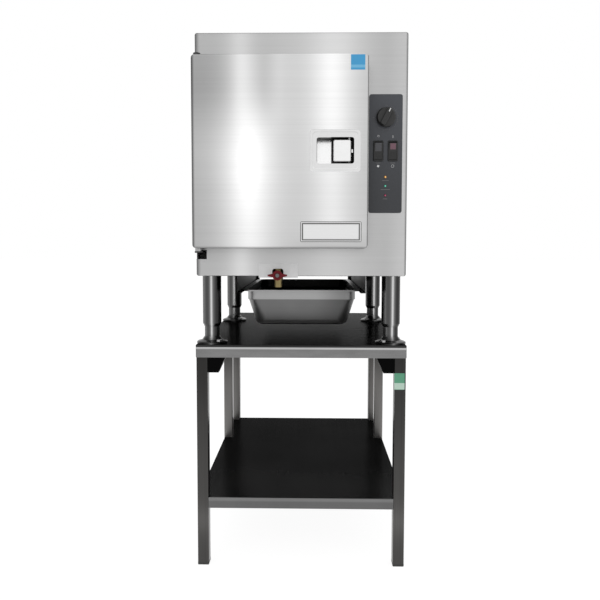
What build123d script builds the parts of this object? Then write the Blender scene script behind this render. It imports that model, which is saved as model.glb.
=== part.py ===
from build123d import *
import math
import os

# Countertop steamer bolted by four adjustable legs to an open stand, in millimetres.
# The front looks along -Y, X runs to the viewer's right and Z up. Shapes are drawn with y measured
# back from the cabinet's front plane; finish() moves them so that the origin is on the floor, midway
# between the foremost and rearmost faces.

# Stand
STAND_OVERHANG = 6.5
STAND_BEHIND = 174.0
STAND_HEIGHT = 601.0
STAND_SETBACK = 12.0
STAND_SHEET = 1.5
STAND_APRON = 34.0
STAND_EDGE_R = 5.0
POST = 30.0
POST_WALL = 1.5
POST_CORNER_R = 3.0
POST_FIT = 0.2
SHELF_HEIGHT = 187.5
SHELF_APRON = 29.5
SHELF_INSET = 2.0
END_CAP = 8.0
END_CAP_PLUG = 14.0
GUSSET_FLAT = 29.0
GUSSET_REACH = 62.0
GUSSET_HEIGHT = 73.5
GUSSET_WIDTH = 26.0
GUSSET_SHEET = 2.0
CHANNEL_WIDTH = 100.0
CHANNEL_DEPTH = 24.0

# Adjustable legs between the stand and the cabinet
LEG_HEIGHT = 183.0
LEG_SIDE_INSET = 31.7
LEG_FRONT_Y = 55.0
LEG_REAR_INSET = 60.0
LEG_TUBE_R = 24.9
LEG_TUBE_WALL = 1.5
LEG_TUBE_CAP = 4.0
LEG_TAPER = 9.0
LEG_COLLAR = 30.0
LEG_EXPOSED = 45.0
LEG_ENGAGED = 70.0
LEG_CLEAR = 0.05
INSERT_R = 20.0
INSERT_WALL = 3.0
FOOT_R = 41.0
FOOT_EDGE = 4.5
FOOT_RISE = 19.0
BOLT_CIRCLE_R = 31.5
BOLT_ANGLE = 48.0
BOLT_R = 4.0
BOLT_HEAD_R = 7.5
BOLT_HEAD = 5.3
BOLT_SEAT = 6.0

# Cabinet
CABINET_SHEET = 1.5
CONTROL_WIDTH = 105.0
REAR_SPACE = 48.5
HEAD_SPACE = 69.5
FRONT_RETURN = 25.0
FRONT_EDGE_R = 4.0
FRONT_CORNER_R = 6.0
PANEL_SHEET = 1.2
COVER_FLANGE = 18.0
SEAM = 0.3
LOUVRE_LENGTH = 90.0
LOUVRE_R = 7.0
LOUVRE_PITCH = 22.0
LOUVRE_ROWS = 5

# Door and cavity
DOOR_SIDE_MARGIN = 48.0
DOOR_END_MARGIN = 50.0
DOOR_BOTTOM_GAP = 73.0
DOOR_THICKNESS = 49.5
DOOR_GAP = 5.5
DOOR_SKIN = 1.2
DOOR_CORNER_R = 9.0
DOOR_EDGE_R = 4.0
DOOR_BOSS = 8.0
CAVITY_WIDTH = 345.0
CAVITY_HEIGHT = 380.0
CAVITY_DEPTH = 550.0
CAVITY_WALL = 1.5
MOUTH_CORNER_R = 12.0
LINER_FLANGE = 12.0
GASKET_WIDTH = 14.0
GASKET_MARGIN = 2.0
GASKET_CLEAR = 0.4
RACK_LEVELS = 3
RACK_LEDGE = 15.0
RACK_SHEET = 1.5
INSULATION = 25.0
HEATER_SIDE_INSET = 52.5
HEATER_FRONT_INSET = 88.5
HEATER_REAR_INSET = 81.5

# Hinges
HINGE_IN = 11.0
HINGE_PIN_R = 4.0
HINGE_BUSH_R = 6.0
HINGE_BUSH = 12.0
HINGE_PLATE = 4.0
HINGE_PLATE_WIDTH = 18.0
HINGE_SPACE_LOW = 8.0
HINGE_SPACE_TOP = 4.5
HINGE_NOTCH_WIDTH = 27.5
HINGE_NOTCH_HEIGHT = 24.0
PIN_CLEAR = 0.05

# Handle and latch
BEZEL_WIDTH = 126.0
BEZEL_HEIGHT = 104.0
BEZEL_STEP = 6.0
BEZEL_BASE = 2.0
BEZEL_RISE = 4.5
HANDLE_INSET = 82.0
OPENING_WIDTH = 93.0
OPENING_HEIGHT = 65.0
OPENING_R = 6.0
RECESS_DEPTH = 40.0
RECESS_WALL = 2.0
CUP_WIDTH = 36.5
PADDLE_WIDTH = 43.4
PADDLE_HEIGHT = 53.3
PADDLE_THICK = 8.0
PADDLE_GAP_RIGHT = 7.7
PADDLE_PROUD = 3.0
PADDLE_PIN_R = 3.0
PADDLE_HUB_R = 5.5
LATCH_SPAN = 31.0
LATCH_THICK = 8.0
LATCH_HEEL = 8.9
LATCH_TAIL = 22.1
LATCH_REACH = 45.0
LATCH_ARM = 6.0
LATCH_CLEAR = 0.4
STRIKE_R = 3.5
STRIKE_CLEAR = 1.5

# Control panel
PANEL_DOOR_GAP = 6.0
PANEL_RIGHT_INSET = 13.5
PANEL_BOTTOM = 164.0
PANEL_HEIGHT = 302.0
PANEL_THICK = 1.5
PANEL_CORNER_R = 6.0
KNOB_R = 24.4
KNOB_UP = 243.0
KNOB_SKIRT = 5.0
KNOB_DEPTH = 20.0
KNOB_GRIP = 14.0
KNOB_ANGLE = 27.0
KNOB_CLEAR = 0.5
SHAFT_R = 3.0
SWITCH_UP = 158.3
SWITCH_WIDTH = 25.5
SWITCH_HEIGHT = 52.0
SWITCH_SPACING = 37.2
SWITCH_RIM = 2.5
SWITCH_PROUD = 3.5
SWITCH_BODY = 24.0
ROCKER_TILT = 7.0
ROCKER_CLEAR = 0.4
LAMP_R = 3.2
LAMP_UPS = {"lamp_red": 45.0, "lamp_green": 69.0, "lamp_amber": 92.0}

# Drain valve and drain pan
VALVE_OFFSET = 7.5
VALVE_Y = 24.0
VALVE_UP = 3.0
VALVE_BODY_R = 13.0
VALVE_BORE_R = 6.0
PLUG_R = 9.0
PLUG_HALF = 7.0
PLUG_CLEAR = 0.1
STEM_R = 4.0
OUTLET_R = 10.0
OUTLET_BELOW = 33.0
HANDLE_HUB_R = 12.8
HANDLE_SPAN = 50.0
HANDLE_THICK = 7.0
HANDLE_FRONT = 27.0
DRAIN_PIPE_R = 11.0
DRAIN_PIPE_WALL = 2.0
NOTCH_WIDTH = 30.0
NOTCH_HEIGHT = 20.0
NOTCH_R = 6.0
PLATE_LEFT = 50.0
PLATE_RIGHT = 52.0
PLATE_HEIGHT = 37.5
PLATE_BELOW = 4.0
PLATE_THICK = 1.0
PAN_WIDTH = 325.0
PAN_LENGTH = 530.0
PAN_DEPTH = 98.5
PAN_SHEET = 1.0
PAN_RIM = 13.5
PAN_LIP = 3.0
PAN_BAND = 26.0
PAN_STEP = 2.0
PAN_TAPER = 17.0
PAN_CORNER_R = 33.0
PAN_FLOOR_R = 14.0
PAN_FRONT_Y = 62.0
PAN_CLEAR = 0.3
SLIDE_DROP = 44.6
SLIDE_SHEET = 1.5
SLIDE_LEDGE = 5.0
SLIDE_SIDE_GAP = 6.0
SLIDE_TOP_FLANGE = 24.0
SLIDE_FRONT_Y = 20.0
SLIDE_STOP_GAP = 1.5

# Rear services
INLET_R = 13.0
INLET_BORE_R = 8.0
INLET_LENGTH = 22.0
GLAND_R = 15.0
GLAND_BORE_R = 6.5
GLAND_LENGTH = 26.0
VENT_R = 14.0
VENT_WALL = 2.0
SCREW_HEAD_R = 4.5
SCREW_HEAD = 2.0

# Levels and places that follow from the sizes above
DOOR_WIDTH = CAVITY_WIDTH + 2 * DOOR_SIDE_MARGIN
DOOR_HEIGHT = CAVITY_HEIGHT + 2 * DOOR_END_MARGIN
CABINET_WIDTH = DOOR_WIDTH + CONTROL_WIDTH
CABINET_HEIGHT = DOOR_BOTTOM_GAP + DOOR_HEIGHT + HEAD_SPACE
CABINET_DEPTH = CABINET_SHEET + CAVITY_DEPTH + REAR_SPACE
STAND_WIDTH = CABINET_WIDTH + 2 * STAND_OVERHANG
STAND_FRONT = STAND_SETBACK
STAND_BACK = CABINET_DEPTH + STAND_BEHIND
STAND_UNDER = STAND_HEIGHT - STAND_SHEET
POST_X = STAND_WIDTH / 2 - STAND_SHEET - POST / 2
POST_FRONT_Y = STAND_FRONT + STAND_SHEET + POST / 2
POST_BACK_Y = STAND_BACK - STAND_SHEET - POST / 2
LEG_X = CABINET_WIDTH / 2 - LEG_SIDE_INSET
LEG_BACK_Y = CABINET_DEPTH - LEG_REAR_INSET
LEG_TUBE_Z = STAND_HEIGHT + LEG_EXPOSED
CAB_L = -CABINET_WIDTH / 2
CAB_R = CABINET_WIDTH / 2
CAB_B = STAND_HEIGHT + LEG_HEIGHT
CAB_T = CAB_B + CABINET_HEIGHT
DOOR_L = CAB_L
DOOR_R = DOOR_L + DOOR_WIDTH
DOOR_B = CAB_B + DOOR_BOTTOM_GAP
DOOR_T = DOOR_B + DOOR_HEIGHT
DOOR_X = (DOOR_L + DOOR_R) / 2
DOOR_Z = (DOOR_B + DOOR_T) / 2
DOOR_BACK_Y = -DOOR_GAP
DOOR_FRONT_Y = -DOOR_GAP - DOOR_THICKNESS
LINER_X0 = DOOR_X - CAVITY_WIDTH / 2
LINER_X1 = DOOR_X + CAVITY_WIDTH / 2
LINER_Z0 = DOOR_Z - CAVITY_HEIGHT / 2
LINER_Z1 = DOOR_Z + CAVITY_HEIGHT / 2
LINER_Y0 = CABINET_SHEET
LINER_Y1 = LINER_Y0 + CAVITY_DEPTH
HINGE_X = DOOR_L + HINGE_IN
HANDLE_X = DOOR_R - HANDLE_INSET
HINGE_Y = DOOR_BACK_Y - DOOR_THICKNESS / 2
HANDLE_Z = DOOR_Z + 2.5
BEZEL_FRONT_Y = DOOR_FRONT_Y - BEZEL_RISE
PADDLE_RIGHT = HANDLE_X + OPENING_WIDTH / 2 - PADDLE_GAP_RIGHT
PADDLE_LEFT = PADDLE_RIGHT - PADDLE_WIDTH
PADDLE_FRONT_Y = DOOR_FRONT_Y - PADDLE_PROUD
PIVOT_X = PADDLE_RIGHT - PADDLE_PIN_R - 0.7
PIVOT_Y = PADDLE_FRONT_Y + PADDLE_THICK + 2.0
HOOK_X = PIVOT_X + LATCH_SPAN
HOOK_Y = PIVOT_Y + 18.0
BULKHEAD_X = HOOK_X - 4.0
PANEL_LEFT = DOOR_R + PANEL_DOOR_GAP
PANEL_X = (PANEL_LEFT + CAB_R - PANEL_RIGHT_INSET) / 2
PANEL_FRONT_Y = -PANEL_THICK
PANEL_Z0 = CAB_B + PANEL_BOTTOM
KNOB_Z = PANEL_Z0 + KNOB_UP
SWITCH_Z = PANEL_Z0 + SWITCH_UP
VALVE_X = DOOR_X - VALVE_OFFSET
VALVE_Z = CAB_B + VALVE_UP
SLIDE_Z = CAB_B - SLIDE_DROP
SLIDE_X = PAN_WIDTH / 2 + SLIDE_SIDE_GAP
PAN_BOTTOM_LIP_Z = SLIDE_Z + PAN_CLEAR
PAN_TOP_Z = PAN_BOTTOM_LIP_Z + PAN_LIP
ORIGIN_Y = (STAND_BACK + min(BEZEL_FRONT_Y, PADDLE_FRONT_Y)) / 2


# Shape helpers

def block(x0, x1, y0, y1, z0, z1):
    """A box between two corners."""
    return Pos((x0 + x1) / 2, (y0 + y1) / 2, (z0 + z1) / 2) * Box(x1 - x0, y1 - y0, z1 - z0)


def rod_z(x, y, z0, z1, radius):
    return Pos(x, y, (z0 + z1) / 2) * Cylinder(radius, z1 - z0)


def rod_y(x, z, y0, y1, radius):
    return Pos(x, (y0 + y1) / 2, z) * Rot(90, 0, 0) * Cylinder(radius, y1 - y0)


def rod_x(y, z, x0, x1, radius):
    return Pos((x0 + x1) / 2, y, z) * Rot(0, 90, 0) * Cylinder(radius, x1 - x0)


def front_plate(x0, x1, z0, z1, y0, y1, radius):
    """A plate facing the front, with rounded corners, from y0 back to y1."""
    outline = RectangleRounded(x1 - x0, z1 - z0, radius)
    return Pos((x0 + x1) / 2, y1, (z0 + z1) / 2) * extrude(Plane.XZ * outline, y1 - y0)


def flat_plate(x0, x1, y0, y1, z0, z1, radius):
    """A level plate with rounded corners, from z0 up to z1."""
    outline = RectangleRounded(x1 - x0, y1 - y0, radius)
    return extrude(Pos((x0 + x1) / 2, (y0 + y1) / 2, z0) * outline, z1 - z0)


def hexagon_z(x, y, z0, z1, radius):
    return extrude(Pos(x, y, z0) * RegularPolygon(radius, 6), z1 - z0)


def group(shapes):
    """Separate solids kept in one node."""
    return Compound(children=list(shapes))


def both_sides(make):
    """The same piece made on the left and on the right."""
    return group([make(-1), make(1)])


# Stand

def stand_top():
    half = STAND_WIDTH / 2
    low = STAND_HEIGHT - STAND_APRON
    top = flat_plate(-half, half, STAND_FRONT, STAND_BACK, low, STAND_HEIGHT, STAND_EDGE_R)
    top = chamfer(top.faces().sort_by(Axis.Z)[-1].edges(), STAND_SHEET)
    inner = half - STAND_SHEET
    hollow = flat_plate(-inner, inner, STAND_FRONT + STAND_SHEET, STAND_BACK - STAND_SHEET, low - 1, STAND_UNDER,
                        POST_CORNER_R - POST_FIT)
    holes = [rod_z(x, y, STAND_UNDER - 1, STAND_HEIGHT + 1, BOLT_R + 0.5) for x, y, _ in bolt_places()]
    return top - hollow - holes


def stand_channel():
    """Hat channel that stiffens the top, welded under it between the front and rear aprons."""
    half = CHANNEL_WIDTH / 2
    brim = 18.0
    y0 = STAND_FRONT + STAND_SHEET
    y1 = STAND_BACK - STAND_SHEET
    hat = block(-half, half, y0, y1, STAND_UNDER - CHANNEL_DEPTH, STAND_UNDER)
    hat -= block(-half + STAND_SHEET, half - STAND_SHEET, y0 - 1, y1 + 1,
                 STAND_UNDER - CHANNEL_DEPTH + STAND_SHEET, STAND_UNDER + 1)
    for side in (-1, 1):
        edges = sorted((side * half, side * (half + brim)))
        hat += block(edges[0], edges[1], y0, y1, STAND_UNDER - STAND_SHEET, STAND_UNDER)
    return hat


def post(x, y):
    tube = RectangleRounded(POST, POST, POST_CORNER_R)
    tube -= Rectangle(POST - 2 * POST_WALL, POST - 2 * POST_WALL)
    return extrude(Pos(x, y, END_CAP) * tube, STAND_UNDER - END_CAP)


def post_rows():
    return (POST_FRONT_Y, LEG_BACK_Y, POST_BACK_Y)


def end_cap(x, y):
    """Moulded foot that plugs a post's lower end, its floor edge bevelled."""
    half = POST / 2
    sole = block(x - half, x + half, y - half, y + half, 0, END_CAP)
    sole = chamfer(sole.edges().filter_by(Axis.Z) + sole.faces().sort_by(Axis.Z)[0].edges(), POST_CORNER_R / 2)
    inside = POST / 2 - POST_WALL - POST_FIT
    return sole + block(x - inside, x + inside, y - inside, y + inside, END_CAP, END_CAP + END_CAP_PLUG)


def end_caps():
    return group([end_cap(side * POST_X, y) for side in (-1, 1) for y in post_rows()])


def stand_shelf():
    half = STAND_WIDTH / 2 - STAND_SHEET - SHELF_INSET
    y0 = STAND_FRONT + STAND_SHEET
    y1 = STAND_BACK - STAND_SHEET
    low = SHELF_HEIGHT - SHELF_APRON
    shelf = block(-half, half, y0, y1, low, SHELF_HEIGHT)
    shelf = fillet(shelf.faces().sort_by(Axis.Z)[-1].edges().filter_by(Axis.X), STAND_EDGE_R - STAND_SHEET)
    shelf -= block(-half + STAND_SHEET, half - STAND_SHEET, y0 + STAND_SHEET, y1 - STAND_SHEET,
                   low - 1, SHELF_HEIGHT - STAND_SHEET)
    reach = POST / 2 + POST_FIT
    places = [(side * POST_X, y) for side in (-1, 1) for y in post_rows()]
    return shelf - [block(x - reach, x + reach, y - reach, y + reach, low - 1, SHELF_HEIGHT + 1)
                    for x, y in places]


def gusset(side, y):
    """Folded gusset between a post and the top, open towards both."""
    root = POST_X - POST / 2

    def outline(cut):
        points = [(root + cut, STAND_UNDER + cut), (root - GUSSET_REACH + 1.4 * cut, STAND_UNDER + cut),
                  (root - GUSSET_FLAT + 0.6 * cut, STAND_UNDER - GUSSET_HEIGHT + cut),
                  (root + cut, STAND_UNDER - GUSSET_HEIGHT + cut)]
        return make_face(Polyline(*[(side * px, pz) for px, pz in points], close=True))

    solid = extrude(Plane.XZ * outline(0), GUSSET_WIDTH / 2, both=True)
    solid -= extrude(Plane.XZ * outline(GUSSET_SHEET), GUSSET_WIDTH / 2 - GUSSET_SHEET, both=True)
    return Pos(0, y, 0) * solid


def gussets():
    return group([gusset(side, y) for side in (-1, 1) for y in (POST_FRONT_Y, POST_BACK_Y)])


# Adjustable legs

def leg_tube(side, y):
    x = side * LEG_X
    z0 = LEG_TUBE_Z
    tube = rod_z(x, y, z0 + LEG_TAPER, CAB_B, LEG_TUBE_R)
    taper = Cone(INSERT_R + 0.6, LEG_TUBE_R, LEG_TAPER)
    tube += Pos(x, y, z0 + LEG_TAPER / 2) * taper
    tube -= rod_z(x, y, z0 - 1, z0 + LEG_COLLAR + 1, INSERT_R + LEG_CLEAR)
    tube -= rod_z(x, y, z0 + LEG_COLLAR, CAB_B - LEG_TUBE_CAP, LEG_TUBE_R - LEG_TUBE_WALL)
    return tube


def leg_foot(side, y):
    """Sliding insert with its bolted flange, in one revolved piece."""
    top = LEG_EXPOSED + LEG_ENGAGED
    bore = INSERT_R - INSERT_WALL
    outline = Polyline((0, 0), (FOOT_R, 0), (FOOT_R, FOOT_EDGE - 1), (FOOT_R - 2.5, FOOT_EDGE + 1),
                       (INSERT_R + 6, FOOT_RISE * 0.5), (INSERT_R, FOOT_RISE),
                       (INSERT_R, top), (bore, top), (bore, FOOT_EDGE), (0, FOOT_EDGE), close=True)
    foot = revolve(Plane.XZ * make_face(outline), Axis.Z)
    foot = Pos(side * LEG_X, y, STAND_HEIGHT) * foot
    for x, by, row in bolt_places():
        if row == y and x * side > 0:
            foot -= rod_z(x, by, STAND_HEIGHT - 1, STAND_HEIGHT + FOOT_RISE, BOLT_R + 0.5)
            foot -= rod_z(x, by, STAND_HEIGHT + BOLT_SEAT, STAND_HEIGHT + FOOT_RISE, BOLT_HEAD_R + 0.7)
    return foot


def bolt_places():
    """Two bolts on each flange, on a slant that keeps clear of the posts below."""
    dx = BOLT_CIRCLE_R * math.cos(math.radians(BOLT_ANGLE))
    dy = BOLT_CIRCLE_R * math.sin(math.radians(BOLT_ANGLE))
    return [(side * (LEG_X - turn * dx), y - turn * dy, y)
            for side in (-1, 1) for y in (LEG_FRONT_Y, LEG_BACK_Y) for turn in (-1, 1)]


def leg_bolt(x, y):
    seat = STAND_HEIGHT + BOLT_SEAT
    bolt = hexagon_z(x, y, seat, seat + BOLT_HEAD, BOLT_HEAD_R)
    bolt += rod_z(x, y, STAND_UNDER - 12, seat, BOLT_R)
    return bolt + hexagon_z(x, y, STAND_UNDER - 6.5, STAND_UNDER, BOLT_HEAD_R)


def leg_bolts():
    return group([leg_bolt(x, y) for x, y, _ in bolt_places()])


# Cabinet shell

def switch_places():
    return (("left", PANEL_X - SWITCH_SPACING / 2), ("right", PANEL_X + SWITCH_SPACING / 2))


def front_frame():
    frame = front_plate(CAB_L, CAB_R, CAB_B, CAB_T, 0, FRONT_RETURN, FRONT_CORNER_R)
    frame = fillet(frame.faces().sort_by(Axis.Y)[0].edges(), FRONT_EDGE_R)
    s = CABINET_SHEET
    frame -= front_plate(CAB_L + s, CAB_R - s, CAB_B + s, CAB_T - s, s, FRONT_RETURN + 1, FRONT_CORNER_R - s)
    frame -= front_plate(LINER_X0, LINER_X1, LINER_Z0, LINER_Z1, -1, s + 1, MOUTH_CORNER_R)
    notch_top = hinge_low_z() + HINGE_PLATE + 3
    frame -= block(CAB_L - 1, CAB_L + HINGE_NOTCH_WIDTH, -1, FRONT_RETURN + 1,
                   notch_top - HINGE_NOTCH_HEIGHT, notch_top)
    slot = HINGE_PLATE_WIDTH / 2 + 1
    frame -= block(HINGE_X - slot, HINGE_X + slot, -1, s + 1, hinge_top_z() - 1, hinge_top_z() + HINGE_PLATE + 1)
    frame -= valve_notch(-1, FRONT_RETURN + 1, 0)
    frame -= rod_y(PANEL_X, KNOB_Z, -1, s + 1, SHAFT_R + 2)
    for _, x in switch_places():
        frame -= switch_hole(x, -1, s + 1)
    for up in LAMP_UPS.values():
        frame -= rod_y(PANEL_X, PANEL_Z0 + up, -1, s + 1, LAMP_R)
    frame -= latch_slot(-1, s + 1, 10, LATCH_ARM)
    return frame


def valve_notch(y0, y1, grow):
    """The round-topped notch that the drain valve's stem passes through."""
    half = NOTCH_WIDTH / 2 + grow
    return front_plate(VALVE_X - half, VALVE_X + half, CAB_B - NOTCH_HEIGHT, CAB_B + NOTCH_HEIGHT + grow,
                       y0, y1, NOTCH_R)


def latch_slot(y0, y1, right, left):
    """The slot that the latch hook passes through."""
    half = LATCH_THICK / 2 + 3.5
    return block(HOOK_X - LATCH_ARM / 2 - left, HOOK_X + LATCH_ARM / 2 + right, y0, y1,
                 HANDLE_Z - half, HANDLE_Z + half)


def switch_hole(x, y0, y1):
    half_w = SWITCH_WIDTH / 2 - 1
    half_h = SWITCH_HEIGHT / 2 - 1
    return block(x - half_w, x + half_w, y0, y1, SWITCH_Z - half_h, SWITCH_Z + half_h)


def top_cover():
    t = PANEL_SHEET
    y0 = FRONT_RETURN + SEAM
    cover = block(CAB_L, CAB_R, y0, CABINET_DEPTH, CAB_T - COVER_FLANGE, CAB_T)
    cover = fillet(cover.faces().sort_by(Axis.Z)[-1].edges().filter_by(Axis.Y), FRONT_EDGE_R)
    return cover - block(CAB_L + t, CAB_R - t, y0 - 1, CABINET_DEPTH - t, CAB_T - COVER_FLANGE - 1, CAB_T - t)


def side_panel(side):
    """Flat side with a joggled lip that tucks up behind the cover's flange."""
    t = PANEL_SHEET
    outer = side * CAB_R
    inner = outer - side * t
    lip = inner - side * t
    y0 = FRONT_RETURN + SEAM
    y1 = CABINET_DEPTH - t - SEAM
    top = CAB_T - COVER_FLANGE - SEAM
    panel = block(min(outer, inner), max(outer, inner), y0, y1, CAB_B, top)
    panel += block(min(inner, lip), max(inner, lip), y0 + 5, y1 - 5, top - 12, CAB_T - t - SEAM)
    return panel


def rear_panel():
    t = PANEL_SHEET
    back = CABINET_DEPTH
    panel = block(CAB_L + t + SEAM, CAB_R - t - SEAM, back - t, back, CAB_B, CAB_T - COVER_FLANGE - SEAM)
    panel += block(CAB_L, CAB_R, back - t, back, CAB_B, CAB_B + COVER_FLANGE)
    for x in (CAB_L / 2, CAB_R / 2):
        for row in range(LOUVRE_ROWS):
            z = CAB_T - COVER_FLANGE - LOUVRE_PITCH * (row + 2)
            panel -= block(x - LOUVRE_LENGTH / 2 + t, x + LOUVRE_LENGTH / 2 - t, back - t - 1, back + 1,
                           z - 1, z + LOUVRE_R - t)
            panel += louvre(x, back, z)
    panel -= rod_y(inlet_x(), service_z(), back - t - 1, back + 1, INLET_R - 2)
    panel -= rod_y(gland_x(), service_z(), back - t - 1, back + 1, GLAND_R - 3)
    panel -= rod_y(DOOR_X, vent_z(), back - t - 1, back + 1, VENT_R + 0.5)
    return panel


def louvre(x, y, z):
    """Slanted hood over a cooling slot, open below."""
    def wedge(cut):
        reach = LOUVRE_R - cut
        profile = Plane.YZ * make_face(Polyline((0, 0), (0, reach), (reach, 0), close=True))
        return Pos(x - LOUVRE_LENGTH / 2 + cut, y, z) * extrude(profile, LOUVRE_LENGTH - 2 * cut)

    return wedge(0) - wedge(PANEL_SHEET)


def base_panel():
    t = CABINET_SHEET
    s = PANEL_SHEET + SEAM
    base = block(CAB_L + s, CAB_R - s, FRONT_RETURN + SEAM, CABINET_DEPTH - s, CAB_B, CAB_B + t)
    reach = VALVE_BODY_R + 3
    return base - block(VALVE_X - reach, VALVE_X + reach, 0, VALVE_Y + reach, CAB_B - 1, CAB_B + t + 1)


def service_z():
    return CAB_B + 46


def inlet_x():
    return CAB_L + 90


def gland_x():
    return CAB_R - 60


def vent_z():
    return LINER_Z1 - 40


# Cavity and what surrounds it

def cavity_liner():
    """Cavity welded from flat sheets: floor, roof, sides and back, with a flange of four strips at its mouth."""
    w = CAVITY_WALL
    f = w + LINER_FLANGE
    x0, x1, z0, z1 = LINER_X0, LINER_X1, LINER_Z0, LINER_Z1
    y0, y1 = LINER_Y0, LINER_Y1
    floor = block(x0 - w, x1 + w, y0, y1, z0 - w, z0)
    floor -= rod_z(VALVE_X, VALVE_Y, z0 - w - 1, z0 + 1, DRAIN_PIPE_R - DRAIN_PIPE_WALL)
    roof = block(x0 - w, x1 + w, y0, y1, z1, z1 + w)
    back = block(x0 - w, x1 + w, y1, y1 + w, z0 - w, z1 + w)
    back -= rod_y(DOOR_X, vent_z(), y1 - 1, y1 + w + 1, VENT_R - VENT_WALL)
    sides = [block(x0 - w, x0, y0, y1, z0, z1), block(x1, x1 + w, y0, y1, z0, z1)]
    flange = [block(x0 - f, x1 + f, y0, y0 + w, z0 - f, z0 - w), block(x0 - f, x1 + f, y0, y0 + w, z1 + w, z1 + f),
              block(x0 - f, x0 - w, y0, y0 + w, z0 - w, z1 + w), block(x1 + w, x1 + f, y0, y0 + w, z0 - w, z1 + w)]
    return group([floor, roof, back, *sides, *flange])


def rack_ledge_heights():
    pitch = CAVITY_HEIGHT / (RACK_LEVELS + 0.3)
    return [LINER_Z0 + pitch * (level + 1) - 18 for level in range(RACK_LEVELS)]


def rack(side):
    """Lift-out side frame: two uprights against the wall and an angle ledge for each pan."""
    wall = DOOR_X + side * CAVITY_WIDTH / 2
    t = RACK_SHEET

    def between(a, b, y0, y1, z0, z1):
        xs = sorted((wall - side * a, wall - side * b))
        return block(xs[0], xs[1], y0, y1, z0, z1)

    low = LINER_Z0 + MOUTH_CORNER_R
    high = LINER_Z1 - MOUTH_CORNER_R
    y0 = LINER_Y0 + 25
    y1 = LINER_Y1 - 12
    frame = between(0, t, y0 + 30, y0 + 50, low, high) + between(0, t, y1 - 60, y1 - 40, low, high)
    for z in rack_ledge_heights():
        frame += between(t, 2 * t, y0, y1, z - 10, z + 8)
        frame += between(t, RACK_LEDGE, y0, y1, z - t, z)
    return frame


def insulation():
    """Blanket over the top, sides and back of the cavity."""
    g = CAVITY_WALL + 0.2
    y0 = LINER_Y0 + 18
    outer = block(LINER_X0 - g - INSULATION, LINER_X1 + g + INSULATION, y0, LINER_Y1 + g + INSULATION,
                  LINER_Z0, LINER_Z1 + g + INSULATION)
    outer -= block(LINER_X0 - g, LINER_X1 + g, y0 - 1, LINER_Y1 + g, LINER_Z0 - 1, LINER_Z1 + g)
    return outer - rod_y(DOOR_X, vent_z(), LINER_Y1, LINER_Y1 + INSULATION + 3, VENT_R + 0.5)


def heater_plate():
    """Cast heater clamped under the cavity floor, with the ridge of its tube element."""
    top = LINER_Z0 - CAVITY_WALL

    def level(inset, low, high, radius):
        return flat_plate(LINER_X0 + HEATER_SIDE_INSET + inset, LINER_X1 - HEATER_SIDE_INSET - inset,
                          LINER_Y0 + HEATER_FRONT_INSET + inset, LINER_Y1 - HEATER_REAR_INSET - inset,
                          low, high, radius)

    return level(0, top - 10, top, 20) + level(25, top - 20, top - 10, 45) - level(40, top - 21, top - 10, 30)


def control_bulkhead():
    t = CABINET_SHEET
    return block(BULKHEAD_X, BULKHEAD_X + t, FRONT_RETURN + SEAM, CABINET_DEPTH - PANEL_SHEET - SEAM,
                 CAB_B + t, CAB_T - t - SEAM)


def contactor():
    x0 = BULKHEAD_X + CABINET_SHEET
    body = block(x0, x0 + 60, 180, 235, CAB_B + 180, CAB_B + 255)
    return body + block(x0, x0 + 45, 186, 229, CAB_B + 170, CAB_B + 265)


def terminal_block():
    x0 = BULKHEAD_X + CABINET_SHEET
    y0 = CABINET_DEPTH - 180
    block_body = block(x0, x0 + 30, y0, y0 + 80, CAB_B + 60, CAB_B + 95)
    for i in range(3):
        y = y0 + 13 + 27 * i
        block_body -= rod_x(y, CAB_B + 77, x0 + 18, x0 + 31, 6)
    return block_body


# Legs' bodies and slides under the cabinet

def pan_slide(side):
    """Z-section runner: a top flange under the base, a web, and a ledge for the pan's rim."""
    t = SLIDE_SHEET
    y0 = SLIDE_FRONT_Y
    y1 = PAN_FRONT_Y + PAN_LENGTH + SLIDE_STOP_GAP

    def between(a, b, ya, yb, z0, z1):
        xs = sorted((side * a, side * b))
        return block(xs[0], xs[1], ya, yb, z0, z1)

    web = SLIDE_X + t
    ledge = PAN_WIDTH / 2 - SLIDE_LEDGE
    slide = between(SLIDE_X, web, y0, y1 + t, SLIDE_Z - t, CAB_B)
    slide += between(SLIDE_X, web + SLIDE_TOP_FLANGE, FRONT_RETURN + 1, y1 + t, CAB_B - t, CAB_B)
    slide += between(ledge, web, y0, y1 + t, SLIDE_Z - t, SLIDE_Z)
    return slide + between(ledge, web, y1, y1 + t, SLIDE_Z, SLIDE_Z + 14)


# Control panel

def control_panel():
    panel = front_plate(PANEL_LEFT, CAB_R - PANEL_RIGHT_INSET, PANEL_Z0, PANEL_Z0 + PANEL_HEIGHT,
                        PANEL_FRONT_Y, 0, PANEL_CORNER_R)
    panel -= rod_y(PANEL_X, KNOB_Z, PANEL_FRONT_Y - 1, 1, SHAFT_R + 2)
    for _, x in switch_places():
        panel -= switch_hole(x, PANEL_FRONT_Y - 1, 1)
    for up in LAMP_UPS.values():
        panel -= rod_y(PANEL_X, PANEL_Z0 + up, PANEL_FRONT_Y - 1, 1, LAMP_R)
    return panel


def timer_body():
    y0 = CABINET_SHEET
    body = block(PANEL_X - 27, PANEL_X + 27, y0, y0 + 38, KNOB_Z - 27, KNOB_Z + 27)
    body += rod_y(PANEL_X, KNOB_Z, y0 + 38, y0 + 46, 18)
    return body - rod_y(PANEL_X, KNOB_Z, y0 - 1, y0 + 20, SHAFT_R + PIN_CLEAR)


def timer_shaft():
    return rod_y(PANEL_X, KNOB_Z, PANEL_FRONT_Y - KNOB_CLEAR - 9, CABINET_SHEET + 19, SHAFT_R)


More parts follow.
